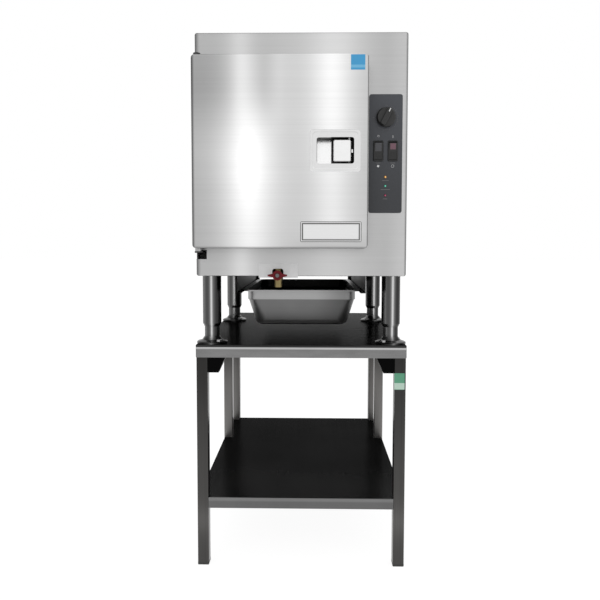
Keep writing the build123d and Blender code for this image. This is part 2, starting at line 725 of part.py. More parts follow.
def timer_knob():
    """Round skirt with a raised bar grip across it, drilled for its shaft."""
    back = PANEL_FRONT_Y - KNOB_CLEAR
    skirt = rod_y(PANEL_X, KNOB_Z, back - KNOB_SKIRT - 6, back, KNOB_R)
    skirt = chamfer(skirt.faces().sort_by(Axis.Y)[0].edges(), 3)
    grip = front_plate(-KNOB_GRIP / 2, KNOB_GRIP / 2, -KNOB_R + 1, KNOB_R - 1, back - KNOB_DEPTH, back - 2, 5)
    grip = chamfer(grip.faces().sort_by(Axis.Y)[0].edges(), 1.2)
    grip = Pos(PANEL_X, 0, KNOB_Z) * Rot(0, KNOB_ANGLE, 0) * grip
    knob = skirt + (grip & rod_y(PANEL_X, KNOB_Z, back - KNOB_DEPTH, back, KNOB_R - 0.5))
    return knob - rod_y(PANEL_X, KNOB_Z, back - 9, back + 1, SHAFT_R)


def rocker_pivot_y():
    return PANEL_FRONT_Y + 4.5


def switch_frame(x):
    """Bezel and socket of one rocker switch."""
    w = SWITCH_WIDTH / 2
    h = SWITCH_HEIGHT / 2
    frame = front_plate(x - w, x + w, SWITCH_Z - h, SWITCH_Z + h, PANEL_FRONT_Y - SWITCH_PROUD, PANEL_FRONT_Y, 3)
    frame = chamfer(frame.faces().sort_by(Axis.Y)[0].edges(), 1)
    socket = 1.2
    frame += block(x - w + socket, x + w - socket, PANEL_FRONT_Y, PANEL_FRONT_Y + SWITCH_BODY,
                   SWITCH_Z - h + socket, SWITCH_Z + h - socket)
    r = SWITCH_RIM
    frame -= block(x - w + r, x + w - r, PANEL_FRONT_Y - SWITCH_PROUD - 1, PANEL_FRONT_Y + SWITCH_BODY - 4,
                   SWITCH_Z - h + r, SWITCH_Z + h - r)
    for side in (-1, 1):
        face = x + side * (w - r)
        xs = sorted((face, face + side * 0.8))
        frame -= rod_x(rocker_pivot_y(), SWITCH_Z, xs[0], xs[1], 1.5 + PIN_CLEAR)
    return frame


def switch_frames():
    return group([switch_frame(x) for _, x in switch_places()])


def rocker(x):
    """Rocking button with two flats, rounded at its ends about its own pivot."""
    half_w = SWITCH_WIDTH / 2 - SWITCH_RIM - ROCKER_CLEAR
    reach = SWITCH_HEIGHT / 2 - SWITCH_RIM - ROCKER_CLEAR
    pivot = rocker_pivot_y()
    crown = pivot - PANEL_FRONT_Y + SWITCH_PROUD - 1
    slope = reach * math.tan(math.radians(ROCKER_TILT))
    outline = Polyline((-crown - slope, -reach), (-crown, 0), (-crown - slope, reach), (6, 8), (6, -8), close=True)
    profile = make_face(outline) & Circle(reach)
    button = extrude(Plane.YZ * profile, 2 * half_w)
    button = Pos(x - half_w, pivot, SWITCH_Z) * Rot(ROCKER_TILT, 0, 0) * button
    return button + rod_x(pivot, SWITCH_Z, x - half_w - 0.8 - ROCKER_CLEAR / 2, x + half_w + 0.8 + ROCKER_CLEAR / 2,
                          1.5)


def lamp(up):
    """Bevelled lens on a short stem."""
    lens = rod_y(PANEL_X, PANEL_Z0 + up, PANEL_FRONT_Y - 2.6, 10, LAMP_R)
    return chamfer(lens.faces().sort_by(Axis.Y)[0].edges(), 1.4)


# Hinges

def hinge_low_z():
    return DOOR_B - HINGE_SPACE_LOW - HINGE_PLATE


def hinge_top_z():
    return DOOR_T + HINGE_SPACE_TOP


def hinge_bracket(z, down):
    """Flat arm through the front frame, with a tab fixed inside the cabinet's side."""
    half = HINGE_PLATE_WIDTH / 2
    back = FRONT_RETURN - 4
    arm = block(HINGE_X - half, HINGE_X + half, HINGE_Y, back, z, z + HINGE_PLATE)
    arm += rod_z(HINGE_X, HINGE_Y, z, z + HINGE_PLATE, half)
    zs = (z - 40, z + HINGE_PLATE) if down else (z, z + 44)
    tab_x = CAB_L + CABINET_SHEET
    arm += block(tab_x, tab_x + 3, CABINET_SHEET, back, zs[0], zs[1])
    return arm - rod_z(HINGE_X, HINGE_Y, z - 1, z + HINGE_PLATE + 1, HINGE_PIN_R)


def hinge_pins():
    """Lower and upper pin, each with a collar that takes the door's weight or play."""
    low = hinge_low_z()
    top = hinge_top_z()
    lower = rod_z(HINGE_X, HINGE_Y, low, DOOR_B + HINGE_BUSH - 1, HINGE_PIN_R)
    lower += rod_z(HINGE_X, HINGE_Y, low + HINGE_PLATE, DOOR_B - SEAM, HINGE_BUSH_R + 2)
    upper = rod_z(HINGE_X, HINGE_Y, DOOR_T - HINGE_BUSH + 1, top + HINGE_PLATE, HINGE_PIN_R)
    upper += rod_z(HINGE_X, HINGE_Y, DOOR_T + SEAM, top, HINGE_BUSH_R + 2)
    return group([lower, upper])


def hinge_bushes():
    bore = HINGE_PIN_R + PIN_CLEAR
    bushes = []
    for z in (DOOR_B, DOOR_T - HINGE_BUSH):
        bushes.append(rod_z(HINGE_X, HINGE_Y, z, z + HINGE_BUSH, HINGE_BUSH_R)
                      - rod_z(HINGE_X, HINGE_Y, z - 1, z + HINGE_BUSH + 1, bore))
    return group(bushes)


# Door

def door_shell():
    shell = front_plate(DOOR_L, DOOR_R, DOOR_B, DOOR_T, DOOR_FRONT_Y, DOOR_BACK_Y, DOOR_CORNER_R)
    shell = fillet(shell.faces().sort_by(Axis.Y)[0].edges(), DOOR_EDGE_R)
    s = DOOR_SKIN
    inner = front_plate(DOOR_L + s, DOOR_R - s, DOOR_B + s, DOOR_T - s, DOOR_FRONT_Y + s, DOOR_BACK_Y + 1,
                        DOOR_CORNER_R - s)
    inner = chamfer(inner.faces().sort_by(Axis.Y)[0].edges(), DOOR_EDGE_R / 2)
    shell -= inner
    shell -= rod_z(HINGE_X, HINGE_Y, DOOR_B - 1, DOOR_T + 1, HINGE_BUSH_R)
    return shell - recess_block(DOOR_FRONT_Y - 1, DOOR_FRONT_Y + s + 1, RECESS_WALL + 0.3)


def recess_block(y0, y1, grow):
    w = OPENING_WIDTH / 2 + grow
    h = OPENING_HEIGHT / 2 + grow
    return front_plate(HANDLE_X - w, HANDLE_X + w, HANDLE_Z - h, HANDLE_Z + h, y0, y1, OPENING_R)


def door_core():
    """Insulating slab in the door, cut away for the latch and the hinge bushes."""
    s = DOOR_SKIN + SEAM
    core = front_plate(DOOR_L + s, DOOR_R - s, DOOR_B + s, DOOR_T - s, DOOR_FRONT_Y + s, liner_plate_y() - SEAM,
                       DOOR_CORNER_R - s)
    core = chamfer(core.faces().sort_by(Axis.Y)[0].edges(), DOOR_EDGE_R / 2)
    top = OPENING_HEIGHT / 2 + RECESS_WALL + SEAM
    core -= block(HANDLE_X - OPENING_WIDTH / 2 - RECESS_WALL - SEAM, DOOR_R, DOOR_FRONT_Y, DOOR_BACK_Y,
                  HANDLE_Z - top, HANDLE_Z + top)
    for z in (DOOR_B, DOOR_T - HINGE_BUSH - 2):
        core -= rod_z(HINGE_X, HINGE_Y, z, z + HINGE_BUSH + 2, HINGE_BUSH_R + SEAM)
    return core


def liner_plate_y():
    return DOOR_BACK_Y - DOOR_SKIN


def door_liner():
    """Inner panel set between the shell's walls, with a raised field that faces the cavity."""
    s = DOOR_SKIN + 0.2
    liner = front_plate(DOOR_L + s, DOOR_R - s, DOOR_B + s, DOOR_T - s, liner_plate_y(), DOOR_BACK_Y,
                        DOOR_CORNER_R - s)
    inset = 7.5
    field = front_plate(LINER_X0 + inset, LINER_X1 - inset, LINER_Z0 + inset, LINER_Z1 - inset,
                        DOOR_BACK_Y, DOOR_BACK_Y + DOOR_BOSS, MOUTH_CORNER_R)
    liner += chamfer(field.faces().sort_by(Axis.Y)[-1].edges(), 3)
    return liner - latch_slot(liner_plate_y() - 1, DOOR_BACK_Y + 1, 8, 2)


def door_gasket():
    """Double-lipped seal that faces the front frame round the cavity."""
    back = -GASKET_CLEAR

    def ring(inner, outer, y0, y1):
        def plate(grow):
            return front_plate(LINER_X0 - grow, LINER_X1 + grow, LINER_Z0 - grow, LINER_Z1 + grow, y0, y1,
                               MOUTH_CORNER_R + grow)
        return plate(outer) - plate(inner)

    inner = GASKET_MARGIN
    outer = inner + GASKET_WIDTH
    seal = ring(inner, outer, DOOR_BACK_Y, back)
    return seal - ring(inner + 4, outer - 4, back - 2.5, back + 1)


# Handle and latch

def handle_bezel():
    """Two-stepped surround of the finger recess."""
    w = BEZEL_WIDTH / 2
    h = BEZEL_HEIGHT / 2
    base = front_plate(HANDLE_X - w, HANDLE_X + w, HANDLE_Z - h, HANDLE_Z + h, DOOR_FRONT_Y - BEZEL_BASE,
                       DOOR_FRONT_Y, 8)
    base = chamfer(base.faces().sort_by(Axis.Y)[0].edges(), 1)
    w -= BEZEL_STEP
    h -= BEZEL_STEP
    raised = front_plate(HANDLE_X - w, HANDLE_X + w, HANDLE_Z - h, HANDLE_Z + h, BEZEL_FRONT_Y,
                         DOOR_FRONT_Y - BEZEL_BASE, 9)
    raised = chamfer(raised.faces().sort_by(Axis.Y)[0].edges(), 1.6)
    return base + raised - recess_block(BEZEL_FRONT_Y - 1, DOOR_FRONT_Y + 1, 0)


def latch_housing():
    """Recess box behind the bezel, with ears that carry the hook's pin."""
    y0 = DOOR_FRONT_Y
    y1 = DOOR_FRONT_Y + RECESS_DEPTH + RECESS_WALL
    box = recess_block(y0, y1, RECESS_WALL) - recess_block(y0 - 1, y1 - RECESS_WALL, 0)
    wall_x = HANDLE_X + OPENING_WIDTH / 2
    box -= block(wall_x - 1, wall_x + RECESS_WALL + 1, PIVOT_Y - 2, HOOK_Y + 4,
                 HANDLE_Z - LATCH_THICK / 2 - 1, HANDLE_Z + LATCH_THICK / 2 + 1)
    for side in (-1, 1):
        z = HANDLE_Z + side * 12.5
        ear = block(wall_x + RECESS_WALL, HOOK_X, HOOK_Y - 8, HOOK_Y + 8, z - 1.5, z + 1.5)
        ear += rod_z(HOOK_X, HOOK_Y, z - 1.5, z + 1.5, 8)
        box += ear - rod_z(HOOK_X, HOOK_Y, z - 2, z + 2, PADDLE_PIN_R)
    pin_reach = OPENING_HEIGHT / 2 + RECESS_WALL + 1
    return box - rod_z(PIVOT_X, PIVOT_Y, HANDLE_Z - pin_reach, HANDLE_Z + pin_reach, PADDLE_PIN_R)


def latch_pins():
    long_pin = OPENING_HEIGHT / 2 + RECESS_WALL
    return group([rod_z(PIVOT_X, PIVOT_Y, HANDLE_Z - long_pin, HANDLE_Z + long_pin, PADDLE_PIN_R),
                  rod_z(HOOK_X, HOOK_Y, HANDLE_Z - 15, HANDLE_Z + 15, PADDLE_PIN_R)])


def paddle_spring():
    """Torsion spring round the paddle's pin, as a closely wound sleeve."""
    z0 = HANDLE_Z - OPENING_HEIGHT / 2
    z1 = HANDLE_Z - PADDLE_HEIGHT / 2 - SEAM
    r = PADDLE_PIN_R + PIN_CLEAR
    return rod_z(PIVOT_X, PIVOT_Y, z0, z1, r + 2) - rod_z(PIVOT_X, PIVOT_Y, z0 - 1, z1 + 1, r)


def handle_cup():
    x0 = HANDLE_X - OPENING_WIDTH / 2
    y1 = DOOR_FRONT_Y + RECESS_DEPTH
    return front_plate(x0 + 1, x0 + 1 + CUP_WIDTH, HANDLE_Z - OPENING_HEIGHT / 2 + 1,
                       HANDLE_Z + OPENING_HEIGHT / 2 - 1, y1 - 2, y1, 4)


def handle_paddle():
    """Pull plate with a pierced hub at its right edge and a heel that works the hook."""
    h = PADDLE_HEIGHT / 2
    back = PADDLE_FRONT_Y + PADDLE_THICK
    plate = front_plate(PADDLE_LEFT, PADDLE_RIGHT, HANDLE_Z - h, HANDLE_Z + h, PADDLE_FRONT_Y, back, 4)
    plate = chamfer(plate.faces().sort_by(Axis.Y)[0].edges(), 1.6)
    hub = rod_z(PIVOT_X, PIVOT_Y, HANDLE_Z - h + 2, HANDLE_Z + h - 2, PADDLE_HUB_R)
    heel = block(PIVOT_X, PIVOT_X + LATCH_HEEL, PIVOT_Y + 0.5, PIVOT_Y + 3.5,
                 HANDLE_Z - LATCH_THICK / 2, HANDLE_Z + LATCH_THICK / 2)
    paddle = plate + hub + heel
    return paddle - rod_z(PIVOT_X, PIVOT_Y, HANDLE_Z - h, HANDLE_Z + h, PADDLE_PIN_R + PIN_CLEAR)


def latch_hook():
    """Flat lever: a tail that the heel pushes, a hub, and an arm that ends in a nose."""
    tail_x = HOOK_X - LATCH_TAIL
    tail_y = PIVOT_Y + 3.5 + LATCH_CLEAR
    a = LATCH_ARM / 2
    tip = HOOK_Y + LATCH_REACH
    outline = Polyline((tail_x - 1, tail_y), (tail_x + 3, tail_y), (HOOK_X + a, HOOK_Y - a), (HOOK_X + a, tip - 2),
                       (HOOK_X + a - 2, tip), (HOOK_X - a - 1, tip), (HOOK_X - 2 * a, tip - 3),
                       (HOOK_X - 2 * a, tip - 5), (HOOK_X - a, tip - 5), (HOOK_X - a, HOOK_Y + a),
                       (tail_x - 1, tail_y + 4), close=True)
    lever = Pos(0, 0, HANDLE_Z) * extrude(make_face(outline), LATCH_THICK / 2, both=True)
    lever += rod_z(HOOK_X, HOOK_Y, HANDLE_Z - 10.5, HANDLE_Z + 10.5, 6)
    return lever - rod_z(HOOK_X, HOOK_Y, HANDLE_Z - 11, HANDLE_Z + 11, PADDLE_PIN_R + PIN_CLEAR)


def latch_strike():
    """Roller between two cheeks behind the front frame."""
    x = HOOK_X - LATCH_ARM - STRIKE_CLEAR - STRIKE_R
    y0 = CABINET_SHEET
    strike = rod_z(x, y0 + 6, HANDLE_Z - 11, HANDLE_Z + 11, STRIKE_R)
    for side in (-1, 1):
        z = HANDLE_Z + side * 9.5
        strike += block(x - 5, x + 5, y0, y0 + 11, z - 1.5, z + 1.5)
    return strike


def badge_plate():
    x0 = HANDLE_X - 86.5
    z0 = DOOR_B + 16
    return front_plate(x0, x0 + 152.5, z0, z0 + 51, DOOR_FRONT_Y - 1.5, DOOR_FRONT_Y, 3)


# Drain

def drain_pipe():
    top = LINER_Z0 - CAVITY_WALL
    low = VALVE_Z + VALVE_BODY_R + 12
    return rod_z(VALVE_X, VALVE_Y, low, top, DRAIN_PIPE_R) - rod_z(VALVE_X, VALVE_Y, low - 1, top + 1,
                                                                 DRAIN_PIPE_R - DRAIN_PIPE_WALL)


def outlet_z():
    return VALVE_Z - OUTLET_BELOW


def drain_valve_body():
    """Quarter-turn valve: a hexagon end, a boss for the stem, and a plain outlet spout."""
    r = VALVE_BODY_R
    top = VALVE_Z + r + 12
    body = rod_z(VALVE_X, VALVE_Y, VALVE_Z - r, top, r - 0.5)
    body += hexagon_z(VALVE_X, VALVE_Y, VALVE_Z + r, top, r + 1.5)
    body += rod_z(VALVE_X, VALVE_Y, outlet_z(), VALVE_Z - r, OUTLET_R)
    body += rod_y(VALVE_X, VALVE_Z, -8, VALVE_Y, 8.5)
    body -= rod_z(VALVE_X, VALVE_Y, outlet_z() - 1, top + 1, VALVE_BORE_R)
    body -= rod_y(VALVE_X, VALVE_Z, VALVE_Y - PLUG_HALF - PLUG_CLEAR, VALVE_Y + PLUG_HALF + PLUG_CLEAR,
                  PLUG_R + PLUG_CLEAR)
    return body - rod_y(VALVE_X, VALVE_Z, -9, VALVE_Y, STEM_R + PIN_CLEAR)


def valve_stem():
    """Bored plug, turned across the flow, with its stem and the screw that holds the handle."""
    plug = rod_y(VALVE_X, VALVE_Z, VALVE_Y - PLUG_HALF, VALVE_Y + PLUG_HALF, PLUG_R)
    plug -= rod_x(VALVE_Y, VALVE_Z, VALVE_X - PLUG_R - 1, VALVE_X + PLUG_R + 1, VALVE_BORE_R)
    stem = plug + rod_y(VALVE_X, VALVE_Z, -HANDLE_FRONT, VALVE_Y - PLUG_HALF + 0.5, STEM_R)
    head = rod_y(VALVE_X, VALVE_Z, -HANDLE_FRONT - 2.5, -HANDLE_FRONT, STEM_R + 0.8)
    slot = block(VALVE_X - 6, VALVE_X + 6, -HANDLE_FRONT - 3, -HANDLE_FRONT - 1.5, VALVE_Z - 0.5, VALVE_Z + 0.5)
    return stem + (head - slot)


def valve_handle():
    """Butterfly handle: a dished hub and two tapering wings."""
    y0 = -HANDLE_FRONT
    y1 = y0 + HANDLE_THICK
    hub = rod_y(VALVE_X, VALVE_Z, y0, y1, HANDLE_HUB_R)
    hub = chamfer(hub.faces().sort_by(Axis.Y)[0].edges(), 1.2)
    half = HANDLE_SPAN / 2
    wing = Polyline((-half, -2), (-half, 2), (-HANDLE_HUB_R + 2, 5), (HANDLE_HUB_R - 2, 5), (half, 2), (half, -2),
                    (HANDLE_HUB_R - 2, -5), (-HANDLE_HUB_R + 2, -5), close=True)
    wings = Pos(VALVE_X, (y0 + y1) / 2, VALVE_Z) * extrude(Plane.XZ * make_face(wing), HANDLE_THICK / 2 - 1,
                                                           both=True)
    handle = hub + wings
    handle -= rod_y(VALVE_X, VALVE_Z, y0 - 1, y0 + 1.5, HANDLE_HUB_R - 5)
    return handle - rod_y(VALVE_X, VALVE_Z, y0 - 1, y1 + 1, STEM_R)


def valve_plate():
    z0 = CAB_B - PLATE_BELOW
    plate = block(VALVE_X - PLATE_LEFT, VALVE_X + PLATE_RIGHT, -PLATE_THICK, 0, z0, z0 + PLATE_HEIGHT)
    return plate - valve_notch(-PLATE_THICK - 1, 1, -0.5)


def drain_pan():
    """Deep-drawn pan: turned rim, straight band, step, tapered walls and a rounded floor."""
    t = PAN_SHEET
    top = PAN_TOP_Z
    mid_y = PAN_FRONT_Y + PAN_LENGTH / 2
    step_z = top - PAN_BAND
    floor_z = top - PAN_DEPTH

    def level(inset, z, radius):
        return Pos(0, mid_y, z) * RectangleRounded(PAN_WIDTH - 2 * inset, PAN_LENGTH - 2 * inset, radius)

    def well(wall, base):
        """The drawn well, or with a wall and a base the space inside it."""
        low_z = step_z if wall else step_z - t
        radius = PAN_CORNER_R - wall
        bend = PAN_FLOOR_R - base
        band = extrude(level(PAN_RIM + wall, low_z, radius), top + wall - low_z)
        upper = PAN_RIM + PAN_STEP + wall
        low = upper + PAN_TAPER
        turns = [level(low + k * bend, floor_z + base + r * bend, radius - k * bend)
                 for k, r in ((1, 0), (0.3, 0.3), (0, 1))]
        return band + loft(turns + [level(upper, step_z, radius)], ruled=True)

    rim = extrude(level(0, top - t, PAN_CORNER_R - PAN_RIM + 5), t)
    lip = extrude(level(0, top - PAN_LIP, PAN_CORNER_R - PAN_RIM + 5), PAN_LIP)
    lip -= extrude(level(t, top - PAN_LIP - 1, PAN_CORNER_R - PAN_RIM + 4), PAN_LIP + 1)
    return rim + lip + well(0, 0) - well(t, t)


# Rear services and fasteners

def water_inlet():
    y0 = CABINET_DEPTH
    fitting = rod_y(inlet_x(), service_z(), y0, y0 + 5, INLET_R + 4)
    fitting += rod_y(inlet_x(), service_z(), y0 + 5, y0 + 5 + INLET_LENGTH, INLET_R)
    return fitting - rod_y(inlet_x(), service_z(), y0 - 1, y0 + 6 + INLET_LENGTH, INLET_BORE_R)


def supply_gland():
    y0 = CABINET_DEPTH
    gland = Pos(gland_x(), y0 + 8, service_z()) * extrude(Plane.XZ * RegularPolygon(GLAND_R + 2, 6), 8)
    gland += rod_y(gland_x(), service_z(), y0 + 8, y0 + GLAND_LENGTH, GLAND_R - 3)
    return gland - rod_y(gland_x(), service_z(), y0 - 1, y0 + GLAND_LENGTH + 1, GLAND_BORE_R)


def steam_vent():
    """Vent pipe from the cavity's back wall out through the rear panel."""
    y0 = LINER_Y1 + CAVITY_WALL
    y1 = CABINET_DEPTH + 28
    pipe = rod_y(DOOR_X, vent_z(), y0, y1, VENT_R) - rod_y(DOOR_X, vent_z(), y0 - 1, y1 + 1, VENT_R - VENT_WALL)
    flange = rod_y(DOOR_X, vent_z(), CABINET_DEPTH, CABINET_DEPTH + 2, VENT_R + 8)
    return pipe + (flange - rod_y(DOOR_X, vent_z(), CABINET_DEPTH - 1, CABINET_DEPTH + 3, VENT_R - VENT_WALL))


def cover_screws():
    """Hexagon-head screws: three along each cover flange and two columns on the rear panel."""
    side_head = extrude(Plane.YZ * RegularPolygon(SCREW_HEAD_R, 6), SCREW_HEAD)
    rear_head = extrude(Plane.XZ * RegularPolygon(SCREW_HEAD_R, 6), SCREW_HEAD)
    screws = []
    z = CAB_T - COVER_FLANGE / 2
    span = CABINET_DEPTH - 120
    for side in (-1, 1):
        outer = CAB_R if side > 0 else CAB_L - SCREW_HEAD
        for i in range(3):
            screws.append(Pos(outer, 70 + span * i / 2, z) * side_head)
        for i in range(4):
            height = CAB_B + 60 + (CABINET_HEIGHT - 140) * i / 3
            screws.append(Pos(side * (CAB_R - 14), CABINET_DEPTH + SCREW_HEAD, height) * rear_head)
    return group(screws)


def build():
    """Every node of the assembly by name."""
    left_x = dict(switch_places())["left"]
    right_x = dict(switch_places())["right"]
    nodes = {
        "stand_top": stand_top(),
        "stand_channel": stand_channel(),
        "stand_shelf": stand_shelf(),
        "stand_posts": group([post(side * POST_X, y) for side in (-1, 1) for y in post_rows()]),
        "post_gussets": gussets(),
        "post_end_caps": end_caps(),
        "leg_feet": group([leg_foot(side, y) for side in (-1, 1) for y in (LEG_FRONT_Y, LEG_BACK_Y)]),
        "leg_bolts": leg_bolts(),
        "leg_tubes": group([leg_tube(side, y) for side in (-1, 1) for y in (LEG_FRONT_Y, LEG_BACK_Y)]),
        "front_frame": front_frame(),
        "top_cover": top_cover(),
        "side_panel_left": side_panel(-1),
        "side_panel_right": side_panel(1),
        "rear_panel": rear_panel(),
        "base_panel": base_panel(),
        "cavity_liner": cavity_liner(),
        "pan_racks": both_sides(rack),
        "insulation": insulation(),
        "heater_plate": heater_plate(),
        "control_bulkhead": control_bulkhead(),
        "contactor": contactor(),
        "terminal_block": terminal_block(),
        "pan_slides": both_sides(pan_slide),
        "control_panel": control_panel(),
        "timer_body": timer_body(),
        "timer_shaft": timer_shaft(),
        "timer_knob": timer_knob(),
        "switch_frames": switch_frames(),
        "rocker_left": rocker(left_x),
        "rocker_right": rocker(right_x),
        "hinge_brackets": group([hinge_bracket(hinge_low_z(), True), hinge_bracket(hinge_top_z(), False)]),
        "hinge_pins": hinge_pins(),
        "hinge_bushes": hinge_bushes(),
        "door_shell": door_shell(),
        "door_core": door_core(),
        "door_liner": door_liner(),
        "door_gasket": door_gasket(),
        "handle_bezel": handle_bezel(),
        "latch_housing": latch_housing(),
        "latch_pins": latch_pins(),
        "paddle_spring": paddle_spring(),
        "handle_cup": handle_cup(),
        "handle_paddle": handle_paddle(),
        "latch_hook": latch_hook(),
        "latch_strike": latch_strike(),
        "badge_plate": badge_plate(),
        "drain_pipe": drain_pipe(),
        "drain_valve_body": drain_valve_body(),
        "valve_stem": valve_stem(),
        "valve_handle": valve_handle(),
        "valve_plate": valve_plate(),
        "drain_pan": drain_pan(),
        "water_inlet": water_inlet(),
        "supply_gland": supply_gland(),
        "steam_vent": steam_vent(),
        "cover_screws": cover_screws(),
    }
    for name, up in LAMP_UPS.items():
        nodes[name] = lamp(up)
    return nodes


def finish(shape):
    return Pos(0, -ORIGIN_Y, 0) * shape


def main():
    os.makedirs("parts", exist_ok=True)
    for name, shape in build().items():
        export_step(finish(shape), "parts/" + name + ".step")


main()
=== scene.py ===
import math
import bpy
import bmesh
from mathutils import Matrix, Vector


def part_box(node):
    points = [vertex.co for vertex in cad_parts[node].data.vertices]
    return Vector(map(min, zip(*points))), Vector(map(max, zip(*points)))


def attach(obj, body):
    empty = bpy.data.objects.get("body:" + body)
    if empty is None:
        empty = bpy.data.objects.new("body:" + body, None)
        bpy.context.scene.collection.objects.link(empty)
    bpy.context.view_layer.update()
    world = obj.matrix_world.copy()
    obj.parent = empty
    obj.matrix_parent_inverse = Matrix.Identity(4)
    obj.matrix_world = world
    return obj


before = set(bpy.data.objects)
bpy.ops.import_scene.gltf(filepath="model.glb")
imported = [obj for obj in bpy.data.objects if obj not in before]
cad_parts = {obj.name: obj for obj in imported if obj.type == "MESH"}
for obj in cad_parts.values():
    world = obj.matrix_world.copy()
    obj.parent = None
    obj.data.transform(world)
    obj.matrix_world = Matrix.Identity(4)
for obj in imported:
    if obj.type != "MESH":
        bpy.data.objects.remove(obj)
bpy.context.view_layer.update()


# Shader maths

class Reading:
    """A value running through one finish's nodes."""

    def __init__(self, finish, socket):
        self.finish = finish
        self.socket = socket

    def maths(self, operation, *others):
        values = dict(enumerate((self, *others)))
        return self.finish.make("ShaderNodeMath", {"operation": operation}, values)

    def __add__(self, other):
        return self.maths("ADD", other)

    def __radd__(self, other):
        return self.maths("ADD", other)

    def __sub__(self, other):
        return self.maths("SUBTRACT", other)

    def __rsub__(self, other):
        return (self * -1.0) + other

    def __mul__(self, other):
        return self.maths("MULTIPLY", other)

    def __rmul__(self, other):
        return self.maths("MULTIPLY", other)

    def __truediv__(self, other):
        return self.maths("DIVIDE", other)

    def __pow__(self, other):
        return self.maths("POWER", other)

    def __abs__(self):
        return self.maths("ABSOLUTE")

    def at_most(self, other):
        return self.maths("MINIMUM", other)

    def ramp(self, low, high):
        """0 below low, 1 above high and a smooth rise between."""
        return self.finish.make("ShaderNodeMapRange", {"interpolation_type": "SMOOTHSTEP"},
                                {0: self, 1: low, 2: high, 3: 0.0, 4: 1.0})

    def ridge(self, centre, width):
        """1 at centre, falling softly to both sides."""
        off = (self - centre) / width
        return (off * off + 1.0) ** -2.0


class Finish:
    """One material and its shader."""

    def __init__(self, name, colour, roughness, metallic=0.0, **constants):
        self.material = bpy.data.materials.new(name)
        self.material.use_nodes = True
        self.tree = self.material.node_tree
        self.shader = next(n for n in self.tree.nodes if n.type == "BSDF_PRINCIPLED")
        self.colour = colour
        self.set("Base Color", (*colour, 1.0))
        self.set("Roughness", roughness)
        self.set("Metallic", metallic)
        for key, value in constants.items():
            self.set(key.replace("_", " "), value)
        self.coordinates = None

    def set(self, name, value):
        socket = self.shader.inputs[name]
        if isinstance(value, Reading):
            self.tree.links.new(value.socket, socket)
        else:
            socket.default_value = value

    def make(self, kind, settings=None, values=None, out=0):
        node = self.tree.nodes.new(kind)
        for key, value in (settings or {}).items():
            setattr(node, key, value)
        for key, value in (values or {}).items():
            if isinstance(value, Reading):
                self.tree.links.new(value.socket, node.inputs[key])
            else:
                node.inputs[key].default_value = value
        return Reading(self, node.outputs[out])

    def place(self):
        if self.coordinates is None:
            self.coordinates = self.make("ShaderNodeTexCoord", out="Object")
        return self.coordinates

    def parts(self, vector):
        """A vector reading's three values."""
        split = self.tree.nodes.new("ShaderNodeSeparateXYZ")
        self.tree.links.new(vector.socket, split.inputs[0])
        return [Reading(self, socket) for socket in split.outputs]

    def axes(self):
        """Where the surface is, in the shared frame's metres."""
        return self.parts(self.place())

    def facing(self):
        """The surface's own direction."""
        return self.parts(self.make("ShaderNodeNewGeometry", out="Normal"))

    def vector(self, operation, values):
        return self.make("ShaderNodeVectorMath", {"operation": operation}, values)

    def noise(self, scales, detail=2.0, shift=0.0):
        place = self.vector("MULTIPLY", {0: self.place(), 1: scales})
        place = self.vector("ADD", {0: place, 1: (shift, shift, shift)})
        return self.make("ShaderNodeTexNoise", {}, {"Vector": place, "Scale": 1.0, "Detail": detail})

    def scaled(self, colour, factor):
        return self.vector("SCALE", {0: colour, "Scale": factor})

    def paint(self, tone):
        """Base colour times a tone that changes over the surface."""
        self.set("Base Color", self.scaled(self.colour, tone))

    def mix(self, mask, first, second):
        """Between two colours, each a tuple or a reading."""
        first, second = (colour if isinstance(colour, Reading) else (*colour, 1.0)
                         for colour in (first, second))
        return self.make("ShaderNodeMix", {"data_type": "RGBA"}, {0: mask, 6: first, 7: second}, out=2)

    def relief(self, height, strength, distance):
        bump = {"Strength": strength, "Distance": distance, "Height": height}
        self.set("Normal", self.make("ShaderNodeBump", {}, bump))


def grey(level, warm=0.0):
    """Linear grey for an 8-bit picture level, a little warm or cold."""
    value = (level / 255.0) ** 2.2
    return (value * (1 + warm), value, value * (1 - warm))


def middle(node):
    low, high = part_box(node)
    return [(a + b) / 2 for a, b in zip(low, high)]


# Metals

METALLIC = 0.95
GRAIN = {"X": (2.5, 700.0, 700.0), "Y": (700.0, 2.5, 700.0), "Z": (700.0, 700.0, 2.5)}


def brushed(name, colour, roughness, along, streak, cloud, tone=None, **constants):
    """Stainless sheet with its brushing, faint clouding and a tone laid over it, the tone being
    painted light and shade.
    """
    steel = Finish(name, colour, roughness, METALLIC, **constants)
    lines = steel.noise(GRAIN[along], 3.0)
    coarse = steel.noise(tuple(v * 0.22 for v in GRAIN[along]), 2.0, 5.0)
    clouds = steel.noise((5.0, 5.0, 5.0), 3.0, 11.0)
    level = 1.0 + streak * (lines - 0.5) + streak * 0.7 * (coarse - 0.5) + cloud * (clouds - 0.5)
    if tone:
        level = level * tone(steel)
    steel.paint(level)
    steel.set("Roughness", roughness + 0.12 * (lines - 0.5) + 0.10 * (clouds - 0.5))
    steel.relief(lines, 0.06, 0.0004)
    return steel


